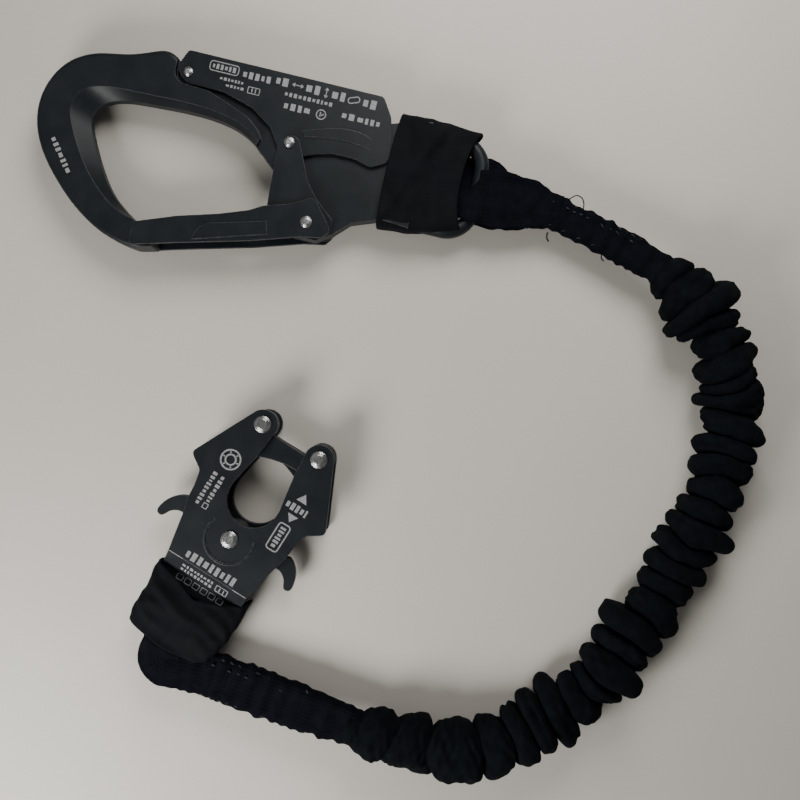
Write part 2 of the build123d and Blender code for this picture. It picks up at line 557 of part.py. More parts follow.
# ---------------------------------------------------------------- connector: fabric keeper over the tail
with BuildPart() as lower_keeper:
    with BuildSketch(Plane(origin=FROG.from_local_coords((0, -38.5, 0)), x_dir=FROG.x_dir,
                           z_dir=FROG.y_dir * -1)):
        RectangleRounded(36.6, 15.4, 6.0)
        RectangleRounded(34.2, 13.0, 4.8, mode=Mode.SUBTRACT)
    extrude(amount=-19.0)
save(lower_keeper.part, "lower_keeper")
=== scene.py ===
"""Shock absorbing lanyard: fabric, thread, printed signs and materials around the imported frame.
Metres, +Z up; shapes on the two connectors are given in millimetres in each connector's own plan."""
import math

import bmesh
import bpy
import numpy as np
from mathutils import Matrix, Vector


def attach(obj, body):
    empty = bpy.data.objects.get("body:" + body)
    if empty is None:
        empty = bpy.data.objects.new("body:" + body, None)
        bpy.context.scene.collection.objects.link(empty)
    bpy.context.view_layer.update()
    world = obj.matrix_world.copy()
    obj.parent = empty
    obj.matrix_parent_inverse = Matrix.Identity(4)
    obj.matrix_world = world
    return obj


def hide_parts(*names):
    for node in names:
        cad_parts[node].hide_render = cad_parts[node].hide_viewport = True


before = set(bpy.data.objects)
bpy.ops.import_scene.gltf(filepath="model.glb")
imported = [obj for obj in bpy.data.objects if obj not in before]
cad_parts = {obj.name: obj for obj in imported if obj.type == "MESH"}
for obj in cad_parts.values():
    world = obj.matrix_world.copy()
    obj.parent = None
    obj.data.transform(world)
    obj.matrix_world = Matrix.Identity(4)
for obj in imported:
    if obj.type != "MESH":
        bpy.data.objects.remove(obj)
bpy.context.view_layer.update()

MM = 0.001

# ---------------------------------------------------------------- places, as in the part's source
MID_Z = 8.4                                      # middle plane of both connectors
HOOK_AT, HOOK_TURN = (15.7, 46.8), -13.6
LATCH_AT, LATCH_TURN = (-12.0, -67.5), -32.3
EYE_X = 57.4                                     # eye bar, in the hook's plan
TAIL_BAR_Y = -37.0                               # tail bar, in the push-on connector's plan
SLEEVE_R, SLEEVE_Z = 11.5, 11.7
SLEEVE_ROUTE = [(144.7, 30.8), (162.7, 14.0), (172.9, -15.0), (166.2, -47.5), (139.2, -97.5),
                (118.2, -124.0), (85.7, -143.5), (55.7, -145.7), (29.7, -135.5)]
UPPER_ROUTE = [(101.5, 53.8, 8.4), (126.2, 43.1, 8.8), (147.2, 28.8, 11.2)]
LOWER_ROUTE = [(-24.0, -116.8, 8.4), (7.7, -128.7, 8.6), (33.5, -137.0, 11.4)]
ROOT = "lanyard"
STRAP_SIDE = (0.35, 0.94, 0.0)                   # across the strap where it meets the connector

CAMERA_AT, CAMERA_LENS = (0.0495, -0.0172, 0.3173), 37.7


def plan(at, turn, x, y, z=0.0):
    """A point of a connector's own plan, in the row frame in metres."""
    c, s = math.cos(math.radians(turn)), math.sin(math.radians(turn))
    return Vector((at[0] + c * x - s * y, at[1] + s * x + c * y, MID_Z + z)) * MM


def hook(x, y, z=0.0):
    return plan(HOOK_AT, HOOK_TURN, x, y, z)


def latch(x, y, z=0.0):
    return plan(LATCH_AT, LATCH_TURN, x, y, z)


# ---------------------------------------------------------------- shader building
class Shader:
    """A node material with short calls for the nodes used here."""

    def __init__(self, name, **constants):
        self.material = bpy.data.materials.new(name)
        self.material.use_nodes = True
        self.tree = self.material.node_tree
        self.bsdf = self.tree.nodes["Principled BSDF"]
        for key, value in constants.items():
            self.bsdf.inputs[key.replace("_", " ")].default_value = value
        self.where = self.add("ShaderNodeTexCoord")

    def add(self, kind, **settings):
        made = self.tree.nodes.new(kind)
        for key, value in settings.items():
            setattr(made, key, value)
        return made

    def link(self, a, b):
        self.tree.links.new(a, b)

    def put(self, value, socket):
        """Links another node's output to a socket, or sets a plain value on it."""
        if isinstance(value, bpy.types.NodeSocket):
            self.link(value, socket)
        else:
            socket.default_value = value

    def noise(self, scale, detail=3.0, rough=0.55, stretch=None):
        made = self.add("ShaderNodeTexNoise")
        made.inputs["Scale"].default_value = scale
        made.inputs["Detail"].default_value = detail
        made.inputs["Roughness"].default_value = rough
        at = self.where.outputs["Object"]
        if stretch:
            turn = self.add("ShaderNodeMapping")
            turn.inputs["Scale"].default_value = stretch
            self.link(at, turn.inputs["Vector"])
            at = turn.outputs["Vector"]
        self.link(at, made.inputs["Vector"])
        return made.outputs["Fac"]

    def bands(self, period, direction, distort=0.0):
        """Sine bands across the unwrapped cloth, one every period metres."""
        made = self.add("ShaderNodeTexWave", wave_type="BANDS", bands_direction=direction)
        made.inputs["Scale"].default_value = math.pi / 10 / period
        made.inputs["Distortion"].default_value = distort
        made.inputs["Detail"].default_value = 1.0
        self.link(self.where.outputs["UV"], made.inputs["Vector"])
        return made.outputs["Fac"]

    def ramp(self, value, *stops):
        """Colour ramp; each stop is a place and a colour, or a place and a grey."""
        made = self.add("ShaderNodeValToRGB")
        for k, (place, colour) in enumerate(stops):
            stop = made.color_ramp.elements[k] if k < 2 else made.color_ramp.elements.new(place)
            stop.position = place
            stop.color = (*colour, 1.0) if hasattr(colour, "__len__") else (colour,) * 3 + (1.0,)
        self.link(value, made.inputs["Fac"])
        return made.outputs["Color"]

    def mix(self, amount, a, b):
        made = self.add("ShaderNodeMix", data_type="RGBA")
        self.put(amount, made.inputs[0])
        self.put(a, made.inputs[6])
        self.put(b, made.inputs[7])
        return made.outputs[2]

    def maths(self, operation, a, b=0.0):
        made = self.add("ShaderNodeMath", operation=operation)
        self.put(a, made.inputs[0])
        self.put(b, made.inputs[1])
        return made.outputs[0]

    def bump(self, height, distance, strength=1.0, normal=None):
        made = self.add("ShaderNodeBump")
        made.inputs["Strength"].default_value = strength
        made.inputs["Distance"].default_value = distance
        self.link(height, made.inputs["Height"])
        if normal:
            self.link(normal, made.inputs["Normal"])
        return made.outputs["Normal"]

    def rounded(self, radius):
        """The normal with edges rounded to that radius."""
        made = self.add("ShaderNodeBevel", samples=6)
        made.inputs["Radius"].default_value = radius
        return made.outputs["Normal"]

    def edge(self, normal):
        """0 on flat faces, rising where the rounded normal leaves the true one."""
        true = self.add("ShaderNodeNewGeometry").outputs["Normal"]
        made = self.add("ShaderNodeVectorMath", operation="DOT_PRODUCT")
        self.link(normal, made.inputs[0])
        self.link(true, made.inputs[1])
        return self.maths("SUBTRACT", 1.0, made.outputs["Value"])

    def finish(self, colour=None, rough=None, normal=None):
        for value, name in ((colour, "Base Color"), (rough, "Roughness"), (normal, "Normal")):
            if value is not None:
                self.link(value, self.bsdf.inputs[name])
        return self.material


def black_anodised():
    """Satin black anodising: faint tone clouds, fine grain, and edges a little brighter: partly rubbed
    wear, partly a painted edge highlight.
    """
    s = Shader("black_anodised", IOR=1.3)
    tone = s.ramp(s.noise(120, 4), (0.35, (0.0066, 0.009, 0.0112)), (0.7, (0.0115, 0.0148, 0.0176)))
    soft = s.rounded(0.00045)
    # painted edge highlight mixed with rubbed wear: every edge where the rounded normal leaves the
    # face is coloured brighter, wherever the light is
    wear_and_edge_highlight = s.ramp(s.edge(soft), (0.012, 0.0), (0.16, 1.0))
    patch = s.ramp(s.noise(900, 4), (0.38, 0.15), (0.62, 1.0))
    amount = s.maths("MULTIPLY", wear_and_edge_highlight, patch)
    colour = s.mix(s.maths("MULTIPLY", amount, 0.6), tone, (0.16, 0.165, 0.17, 1.0))
    rough = s.ramp(s.noise(2400, 3), (0.3, 0.34), (0.7, 0.47))
    grain = s.bump(s.noise(5200, 2), 0.000012, 0.6, soft)
    return s.finish(colour, rough, grain)


def polished_steel():
    """Rivet heads: bright, mottled and lightly scratched."""
    s = Shader("polished_steel", Metallic=1.0)
    mottle = s.noise(420, 3)
    colour = s.ramp(mottle, (0.3, (0.36, 0.365, 0.37)), (0.55, (0.55, 0.555, 0.56)),
                    (0.75, (0.66, 0.66, 0.655)))
    rough = s.ramp(s.noise(1100, 3), (0.3, 0.22), (0.7, 0.33))
    scratch = s.noise(2600, 2, 0.5, (1.0, 0.08, 1.0))
    return s.finish(colour, rough, s.bump(scratch, 0.000008, 0.3, s.rounded(0.0007)))


def drawn_wire():
    """Spring wire and pull rods: drawn steel with a fine grain."""
    s = Shader("drawn_wire", Metallic=1.0)
    colour = s.ramp(s.noise(1800, 3), (0.3, (0.33, 0.33, 0.34)), (0.7, (0.52, 0.52, 0.53)))
    rough = s.ramp(s.noise(3000, 2), (0.3, 0.25), (0.7, 0.4))
    return s.finish(colour, rough, s.bump(s.noise(4000, 2), 0.00001, 0.5))


def cloth(name, dark, light, warp, weft, distance, lint=0.05):
    """Woven cloth: two crossing sets of threads, uneven dye and a little lint."""
    s = Shader(name, Roughness=0.95, IOR=1.14)
    weave = s.maths("MULTIPLY", s.bands(warp, "X", 0.6), s.bands(weft, "Y", 0.6))
    tone = s.ramp(s.noise(260, 4), (0.3, dark), (0.75, light))
    thread = s.mix(s.maths("MULTIPLY", weave, 0.35), tone, tuple(1.7 * c for c in light) + (1.0,))
    speck = s.ramp(s.noise(2300, 2), (0.74, 0.0), (0.8, 1.0))
    fluff = s.mix(s.maths("MULTIPLY", speck, lint), thread, (0.2, 0.2, 0.21, 1.0))
    fuzz = s.maths("ADD", weave, s.maths("MULTIPLY", s.noise(1400, 3), 0.8))
    return s.finish(fluff, None, s.bump(fuzz, distance, 0.9))


def elastic_band():
    """Knitted keeper band: fine lengthwise ribs on a dull black cloth."""
    s = Shader("elastic_band", Roughness=0.85, IOR=1.18)
    ribs = s.bands(0.0011, "Y", 0.8)
    knit = s.maths("ADD", ribs, s.maths("MULTIPLY", s.bands(0.0005, "X", 1.5), 0.4))
    tone = s.ramp(s.noise(140, 4), (0.3, (0.0026, 0.0034, 0.005)), (0.72, (0.0056, 0.0068, 0.0088)))
    colour = s.mix(s.maths("MULTIPLY", ribs, 0.2), tone, (0.008, 0.008, 0.0085, 1.0))
    return s.finish(colour, None, s.bump(knit, 0.00005, 0.6))


def core_rubber():
    """Covered rubber strands of the elastic core."""
    s = Shader("core_rubber", Roughness=0.7, IOR=1.45)
    braid = s.maths("MULTIPLY", s.bands(0.0014, "DIAGONAL"), s.bands(0.0014, "Y"))
    colour = s.ramp(braid, (0.2, (0.01, 0.01, 0.011)), (0.8, (0.03, 0.03, 0.032)))
    return s.finish(colour, None, s.bump(braid, 0.0002, 0.8))


def sewing_thread():
    """Twisted thread, a touch lighter than the webbing and slightly shiny."""
    s = Shader("sewing_thread", Roughness=0.7, IOR=1.35)
    colour = s.ramp(s.noise(900, 3), (0.45, (0.005, 0.0055, 0.008)), (0.8, (0.05, 0.052, 0.06)))
    return s.finish(colour, None, s.bump(s.noise(3800, 2), 0.00008, 0.8))


def light_print_and_fold_highlight():
    """Pale laser marking with a broken, grainy surface; the same pale colour also paints the highlight
    on the front plate's fold.
    """
    s = Shader("light_print_and_fold_highlight", Roughness=0.75, IOR=1.4)
    colour = s.ramp(s.noise(2600, 3), (0.3, (0.13, 0.135, 0.14)), (0.6, (0.32, 0.325, 0.33)))
    return s.finish(colour, None, s.bump(s.noise(5000, 2), 0.00001, 0.6))


def floor_paint():
    """Pale, warm, nearly even tabletop."""
    s = Shader("pale_tabletop", Roughness=0.62, IOR=1.4)
    colour = s.ramp(s.noise(7, 3), (0.3, (0.56, 0.525, 0.475)), (0.7, (0.60, 0.565, 0.515)))
    return s.finish(colour, None, s.bump(s.noise(900, 2), 0.00002, 0.3))


METAL, STEEL, WIRE = black_anodised(), polished_steel(), drawn_wire()
WEBBING = cloth("black_webbing", (0.0022, 0.0025, 0.0045), (0.005, 0.0054, 0.0085), 0.0009, 0.0013,
                0.0002)
SLEEVE_CLOTH = cloth("gathered_cloth", (0.0018, 0.0025, 0.0036), (0.0046, 0.006, 0.008), 0.0006,
                     0.0006, 0.0001)
BAND, CORE, THREAD, PRINT_AND_FOLD_HIGHLIGHT = elastic_band(), core_rubber(), sewing_thread(), light_print_and_fold_highlight()

NODE_LOOKS = {
    METAL: ["hook_body", "hook_lever", "hook_link_front", "hook_link_rear", "hook_gate", "tail_bar",
            "connector_front_plate", "connector_rear_plate", "left_jaw", "right_jaw",
            "left_trigger", "right_trigger"],
    STEEL: ["lever_pivot_rivet", "link_rivets", "gate_pivot_rivet", "left_jaw_rivet",
            "right_jaw_rivet", "centre_rivet", "link_pins", "tail_bar_pins", "jaw_spacers"],
    WIRE: ["gate_spring", "lever_spring", "left_pull_rod", "right_pull_rod", "left_jaw_spring",
           "right_jaw_spring", "left_trigger_spring", "right_trigger_spring"],
    WEBBING: ["upper_webbing_loop", "upper_stitched_webbing", "lower_stitched_webbing",
              "lower_webbing_loop"],
    SLEEVE_CLOTH: ["gathered_sleeve"],
    BAND: ["upper_keeper", "lower_keeper"],
    CORE: ["elastic_core"],
    THREAD: ["upper_stitches", "lower_stitches"],
}
for look, names in NODE_LOOKS.items():
    for name in names:
        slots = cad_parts[name].data.materials
        for k in range(len(slots)):
            slots[k] = look
        if not slots:
            slots.append(look)


# ---------------------------------------------------------------- mesh building
def piece(name, points, faces, look, uv=None, smooth=True):
    """A mesh object; uv gives each vertex its place on the unwrapped cloth, in metres."""
    mesh = bpy.data.meshes.new(name)
    mesh.from_pydata([tuple(p) for p in points], [], faces)
    mesh.materials.append(look)
    if uv is not None:
        layer = mesh.uv_layers.new(name="UVMap")
        corner = np.zeros(len(mesh.loops), np.int32)
        mesh.loops.foreach_get("vertex_index", corner)
        layer.data.foreach_set("uv", np.asarray(uv, np.float32)[corner].ravel())
    mesh.polygons.foreach_set("use_smooth", [smooth] * len(mesh.polygons))
    mesh.validate()
    made = bpy.data.objects.new(name, mesh)
    bpy.context.scene.collection.objects.link(made)
    return made


def grid_faces(rows, columns, first=0):
    """Quads of a tube of rows rings with that many columns round each."""
    faces = []
    for i in range(rows - 1):
        for j in range(columns):
            k = (j + 1) % columns
            a, b = first + i * columns, first + (i + 1) * columns
            faces.append((a + j, a + k, b + k, b + j))
    return faces


def capped(rows, columns):
    """Faces of a closed tube: its quads, and its two end rings as caps."""
    faces = grid_faces(rows, columns)
    faces.append(tuple(reversed(range(columns))))
    faces.append(tuple(range((rows - 1) * columns, rows * columns)))
    return faces


def face_out(made):
    """Turns every face of a closed mesh outwards."""
    work = bmesh.new()
    work.from_mesh(made.data)
    bmesh.ops.recalc_face_normals(work, faces=work.faces)
    work.to_mesh(made.data)
    work.free()
    return made


def smooth_line(points, resolution=24):
    """Points along the quadratic NURBS line that those control points give."""
    curve = bpy.data.curves.new("route", "CURVE")
    curve.dimensions = "3D"
    curve.resolution_u = resolution
    spline = curve.splines.new("NURBS")
    spline.points.add(len(points) - 1)
    for knot, place in zip(spline.points, points):
        knot.co = (*place, 1.0)
    spline.order_u = 3
    spline.use_endpoint_u = True
    holder = bpy.data.objects.new("route", curve)
    mesh = bpy.data.meshes.new_from_object(holder)
    line = np.array([v.co for v in mesh.vertices], float)
    bpy.data.meshes.remove(mesh)
    bpy.data.objects.remove(holder)
    bpy.data.curves.remove(curve)
    return line


def lengths(line):
    """How far along the line each of its points is."""
    return np.concatenate([[0.0], np.cumsum(np.linalg.norm(np.diff(line, axis=0), axis=1))])


def even(line, step):
    """The line again, with its points that far apart."""
    along = lengths(line)
    at = np.linspace(0.0, along[-1], int(math.ceil(along[-1] / step)) + 1)
    return np.stack([np.interp(at, along, line[:, k]) for k in range(3)], axis=1)


LEVEL_ENOUGH = 0.35      # where a line is steeper than this, it keeps the sideways vector it had


def directions(line, first_side=None):
    """Tangent, level sideways and upwards vectors along a line; sideways never flips over."""
    tangent = np.gradient(line, axis=0)
    tangent /= np.linalg.norm(tangent, axis=1)[:, None]
    side = np.zeros_like(tangent)
    last = np.array(first_side, float) if first_side is not None else None
    for i, t in enumerate(tangent):
        level = np.array([t[1], -t[0], 0.0])
        size = np.linalg.norm(level)
        if size > LEVEL_ENOUGH or last is None:
            level /= size
            if last is not None and level @ last < 0:
                level = -level
            last = level
        side[i] = last
    return tangent, side, np.cross(side, tangent)


class Waves:
    """Smooth seeded noise of a place along (millimetres) and round (radians) a tube."""

    def __init__(self, seed, longest, shortest, count=14, turns=4):
        draw = np.random.default_rng(seed)
        self.k = 2 * math.pi / np.exp(draw.uniform(math.log(shortest), math.log(longest), count))
        self.n = draw.integers(-turns, turns + 1, count)
        self.phase = draw.uniform(0, 2 * math.pi, count)
        self.size = draw.uniform(0.5, 1.0, count)

    def __call__(self, along, round_=0.0):
        total = np.zeros(np.broadcast(along, round_).shape)
        for k, n, phase, size in zip(self.k, self.n, self.phase, self.size):
            total = total + size * np.sin(k * along + n * round_ + phase)
        return total / math.sqrt(0.5 * (self.size ** 2).sum())


# ---------------------------------------------------------------- gathered sleeve
FLOOR_GAP, FLOOR_BLEND = 0.5 * MM, 0.8 * MM      # cloth nearer to the floor than this is eased up


def tube(name, line, around, look, radius, rise=1.0):
    """A tube on a line; radius(along, turn) in millimetres gives distance out and shift along."""
    tangent, side, up = directions(line)
    along = lengths(line)[:, None] / MM
    turn = np.linspace(0, 2 * math.pi, around, endpoint=False)[None, :]
    out, shift = (part * MM + np.zeros((len(line), around)) for part in radius(along, turn))
    flat, tall = out * np.cos(turn), out * np.sin(turn) * rise
    points = (line[:, None, :] + shift[..., None] * tangent[:, None, :]
              + flat[..., None] * side[:, None, :] + tall[..., None] * up[:, None, :])
    low = points[..., 2] - FLOOR_GAP
    points[..., 2] = FLOOR_GAP + 0.5 * (low + np.sqrt(low ** 2 + FLOOR_BLEND ** 2))
    uv = np.stack(np.broadcast_arrays(along * MM, turn * SLEEVE_R * MM), axis=-1).reshape(-1, 2)
    made = piece(name, points.reshape(-1, 3), capped(len(line), around), look, uv)
    return face_out(made)


RING_STEP = 0.55                                 # between the sleeve's rings
SHORT_PLEAT, LONG_PLEAT = 6.2, 10.0
LOOSE = 1.75                                     # how much longer the pleats are near both ends
HOOK_LOOSE, CONNECTOR_LOOSE = 10, 62             # how far that reaches from each end
FLAT_PLEAT = 7.6                                 # pleats longer than this have flatter tops
VALLEY_R, PLEAT_RISE = 7.3, 5.1
THINNEST, THICKEST = 4.6, 15.2

sleeve_line = even(smooth_line([(x * MM, y * MM, SLEEVE_Z * MM) for x, y in SLEEVE_ROUTE]),
                   RING_STEP * MM)
SLEEVE_LONG = lengths(sleeve_line)[-1] / MM

draw = np.random.default_rng(11)
pleat_marks = [0.0]
while pleat_marks[-1] < SLEEVE_LONG + 12:
    at_end = pleat_marks[-1] > SLEEVE_LONG - CONNECTOR_LOOSE or pleat_marks[-1] < HOOK_LOOSE
    pitch = draw.uniform(SHORT_PLEAT, LONG_PLEAT) * (LOOSE if at_end else 1.0)
    pleat_marks.append(pleat_marks[-1] + pitch)
pleat_marks = np.array(pleat_marks) - 4.0        # the first pleat starts inside the webbing
PLEATS = len(pleat_marks)
pleat_power = np.clip(FLAT_PLEAT / np.diff(pleat_marks, append=pleat_marks[-1] + 8.0), 0.42, 0.95)
pleat_size = draw.uniform(0.55, 1.15, PLEATS)
pleat_lean = draw.uniform(0.0, 2 * math.pi, PLEATS)
pleat_bias = draw.uniform(0.15, 0.5, PLEATS)
pleat_crease = draw.uniform(0.3, 0.7, PLEATS)
pleat_crease_at = draw.uniform(0.0, 2 * math.pi, PLEATS)
skew = Waves(3, 90, 22, 10, 2)
lopsided = Waves(7, 70, 28, 6, 0)
valley_wave = Waves(4, 70, 18, 10, 2)
wrinkle = Waves(5, 9, 2.6, 26, 9)
fold_wave = Waves(6, 26, 10, 16, 5)


def sleeve_radius(along, turn):
    """Rounded pleats with pinched valleys, set unevenly round the sleeve, drawn in at both ends."""
    place = along + skew(along, turn) + 1.9 * np.cos(turn) * lopsided(along)
    order = np.interp(place, pleat_marks, np.arange(PLEATS))
    which = np.clip(np.floor(order).astype(int), 0, PLEATS - 1)
    t = order - which
    bulge = np.sin(math.pi * t) ** pleat_power[which]
    size = pleat_size[which] * (1 + pleat_bias[which] * np.cos(turn - pleat_lean[which]))
    near = np.cos(turn - pleat_crease_at[which])
    crease = np.exp(-((t - pleat_crease[which]) / 0.07) ** 2) * np.clip(near, 0, 1) * 0.3
    left = SLEEVE_LONG - along
    ends = np.clip(np.minimum(along / 9.0, left / 14.0), 0.0, 1.0) ** 0.5
    swell = 1 + 0.22 * np.exp(-((along - 22) / 16) ** 2) + 0.16 * np.exp(-((60 - left) / 34) ** 2)
    flatter = 0.82 + 0.18 * np.abs(np.cos(turn))         # above and below the strap
    valley = (VALLEY_R + 0.65 * valley_wave(along, turn)) * (0.5 + 0.5 * ends)
    out = valley + PLEAT_RISE * swell * size * bulge * flatter * (1 - crease) * ends
    out = out + (0.42 * fold_wave(along, turn) + 0.2 * wrinkle(along, turn)) * ends
    shift = -np.sin(2 * math.pi * t) * np.clip(size, 0.4, 1.2) * ends
    return np.clip(out, THINNEST, THICKEST), shift


sleeve = tube("gathered_sleeve_cloth", sleeve_line, 84, SLEEVE_CLOTH, sleeve_radius,
              0.94)
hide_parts("gathered_sleeve")

core_line = even(sleeve_line[4:-4], 2.0 * MM)
core = tube("elastic_core_strands", core_line, 20, CORE,
            lambda along, turn: (3.9 + 0.12 * np.sin(3 * turn + along * 0.9), 0.0))
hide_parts("elastic_core")


# ---------------------------------------------------------------- webbing
WEB_STEP = 0.45                                  # between the rings of the sewn webbing


def strip(name, line, first_side, half_wide, half_thick, shape, around, square=3.4):
    """Flat webbing with rounded edges along a line.  Half sizes in millimetres, by place along;
    shape(along, across) lifts the strip and shifts it sideways, in millimetres."""
    tangent, side, up = directions(line, first_side)
    along = lengths(line)[:, None] / MM
    turn = np.linspace(0, 2 * math.pi, around, endpoint=False)[None, :]
    c, s = np.cos(turn), np.sin(turn)
    over = np.sign(c) * np.abs(c) ** (2 / square)
    rise = np.sign(s) * np.abs(s) ** 0.75
    wide = np.broadcast_to(half_wide(along), (len(line), 1))
    thick = np.broadcast_to(half_thick(along), (len(line), 1))
    lift, push = shape(along, over)
    flat, tall = over * wide + push, rise * thick + lift
    points = line[:, None, :] + (flat * MM)[..., None] * side[:, None, :] \
        + (tall * MM)[..., None] * up[:, None, :]
    uv = np.stack(np.broadcast_arrays(along * MM, flat * MM), axis=-1).reshape(-1, 2)
    made = piece(name, points.reshape(-1, 3), capped(len(line), around), WEBBING, uv)
    return face_out(made)


def table(xs, ys):
    """A size looked up by place along a strip, linear between the places given."""
    return lambda at: np.interp(at, xs, ys)


fray_a, fray_b = Waves(21, 16, 3.2, 18, 0), Waves(22, 16, 3.2, 18, 0)
pucker = Waves(23, 14, 5, 12, 0)

# The loop round the hook's eye bar is one length of webbing: in along the back, round the bar and
# out along the front.  The two legs lie apart at the bar and meet at the stitching.
LEG_LONG, WRAP_R = 31.5, 3.65
leg = np.linspace(1.0, 0.0, 44)
legs_x = EYE_X + LEG_LONG * leg
legs_z = WRAP_R - 2.25 * (leg ** 0.8)
wrap = np.linspace(-math.pi / 2, -3 * math.pi / 2, 15)[1:-1]
loop_x = np.concatenate([legs_x, EYE_X + WRAP_R * np.cos(wrap), legs_x[::-1]])
loop_z = np.concatenate([-legs_z, WRAP_R * np.sin(wrap), legs_z[::-1]])
front = np.clip((loop_z + WRAP_R) / (2 * WRAP_R), 0, 1)      # 0 on the back leg, 1 on the front leg


def on_loop(back, ahead):
    """A size blended from the back leg to the front leg; each gives places in plan and sizes there."""
    return (1 - front) * np.interp(loop_x, *back) + front * np.interp(loop_x, *ahead)


loop_centre_y = on_loop(([53, 58, 65, 78, 86.4, 90], [27.6, 28.9, 26.6, 26.9, 26.7, 26.7]),
                        ([53, 58, 65, 78, 86.4, 90], [24.4, 24.4, 25.2, 26.6, 26.7, 26.7]))
upper_loop_line = np.array([hook(x, y, z) for x, y, z in zip(loop_x, loop_centre_y, loop_z)])
upper_along = lengths(upper_loop_line) / MM
upper_half = on_loop(([53, 59, 65, 78, 86.4, 90], [10.2, 13.0, 11.6, 8.7, 6.0, 5.6]),
                     ([53, 58, 65, 78, 86.4, 90], [9.4, 9.4, 10.6, 8.6, 6.0, 5.6]))
upper_pinch = np.clip((loop_x - 58) / 26, 0, 1)


def upper_loop_shape(along, across):
    """Lengthwise folds that deepen as the webbing narrows to the stitching."""
    pinch = np.interp(along, upper_along, upper_pinch)
    folds = 0.55 * np.sin(5.2 * across + 1.1) + 0.45 * np.cos(9.5 * across + 0.05 * along)
    lift = pinch * (1 - pinch) * 3.2 * folds + 0.18 * pucker(along) * (1 - pinch)
    return lift, 0.16 * fray_a(along + 3 * across) * np.abs(across) ** 3


hook_across = tuple(hook(0, 1) - hook(0, 0))
upper_loop = strip("upper_loop_webbing", upper_loop_line, hook_across, table(upper_along, upper_half),
                   table(upper_along, 0.8 + 0.5 * upper_pinch), upper_loop_shape, 64)
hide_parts("upper_webbing_loop")


def layered(pitch):
    """Sewn layers: frayed, slightly open edges, and dimples at that pitch where the thread pulls."""
    def shape(along, across):
        fray = 0.26 * fray_a(along) * (across > 0) + 0.26 * fray_b(along) * (across < 0)
        pull = 0.55 + 0.45 * np.cos(2 * math.pi * along / pitch)
        dimple = -0.3 * np.exp(-((np.abs(across) - 0.62) / 0.16) ** 2) * pull
        crown = 0.35 * (1 - across ** 2) + 0.22 * pucker(along)
        return dimple + crown, fray * np.abs(across) ** 4
    return shape


upper_line = even(smooth_line([tuple(c * MM for c in p) for p in UPPER_ROUTE]), WEB_STEP * MM)
UPPER_LONG = lengths(upper_line)[-1] / MM
upper_sewn = strip("upper_sewn_webbing", upper_line, hook_across,
                   table([0, 5, 14, 34, UPPER_LONG], [5.4, 6.2, 6.1, 6.4, 5.6]),
                   table([0, 6, 30, UPPER_LONG], [2.0, 2.5, 2.6, 2.6]), layered(5.2), 56, 4.5)
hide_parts("upper_stitched_webbing")

lower_line = even(smooth_line([tuple(c * MM for c in p) for p in LOWER_ROUTE]), WEB_STEP * MM)
LOWER_LONG = lengths(lower_line)[-1] / MM
lower_sewn = strip("lower_sewn_webbing", lower_line, STRAP_SIDE,
                   table([0, 6, 20, 40, LOWER_LONG], [7.4, 8.2, 8.6, 8.2, 6.6]),
                   table([0, 6, 40, LOWER_LONG], [2.4, 3.0, 3.2, 3.2]), layered(6.6), 60, 4.5)
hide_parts("lower_stitched_webbing")

# The loop round the connector's tail bar turns the corner under the keeper.
LOOP_RUN = [(-14.0, -120.6, 1.5), (-25.0, -116.6, 1.7), (-39.5, -113.8, 2.3)]
turn_points = [Vector((x, y, MID_Z - z)) * MM for x, y, z in LOOP_RUN]
turn_points += [latch(-0.5, -48.0, -3.6), latch(0, -40.0, -3.9), latch(0, TAIL_BAR_Y + 4.1, -4.3),
                latch(0, TAIL_BAR_Y + 4.1, 4.3), latch(0, -40.0, 3.9), latch(-0.5, -48.0, 3.6)]
turn_points += [Vector((x, y, MID_Z + z)) * MM for x, y, z in reversed(LOOP_RUN)]
lower_loop_line = even(smooth_line([tuple(p) for p in turn_points]), 0.6 * MM)
lower_loop_long = lengths(lower_loop_line)[-1] / MM


def lower_loop_shape(along, across):
    """Creases that gather at the inside of the turn."""
    bend = np.exp(-((along - 24) / 9) ** 2) + np.exp(-((along - lower_loop_long + 24) / 9) ** 2)
    lift = 0.5 * bend * np.sin(7 * across + 0.25 * along) + 0.15 * pucker(along)
    return lift, 0.2 * fray_b(along) * np.abs(across) ** 3


lower_loop = strip("lower_loop_webbing", lower_loop_line, tuple(-c for c in STRAP_SIDE),
                   lambda along: 7.8, lambda along: 0.95, lower_loop_shape, 48)
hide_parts("lower_webbing_loop")


# ---------------------------------------------------------------- thread
SUNK_SHARE = 0.45                                # stitches pulled in out of sight


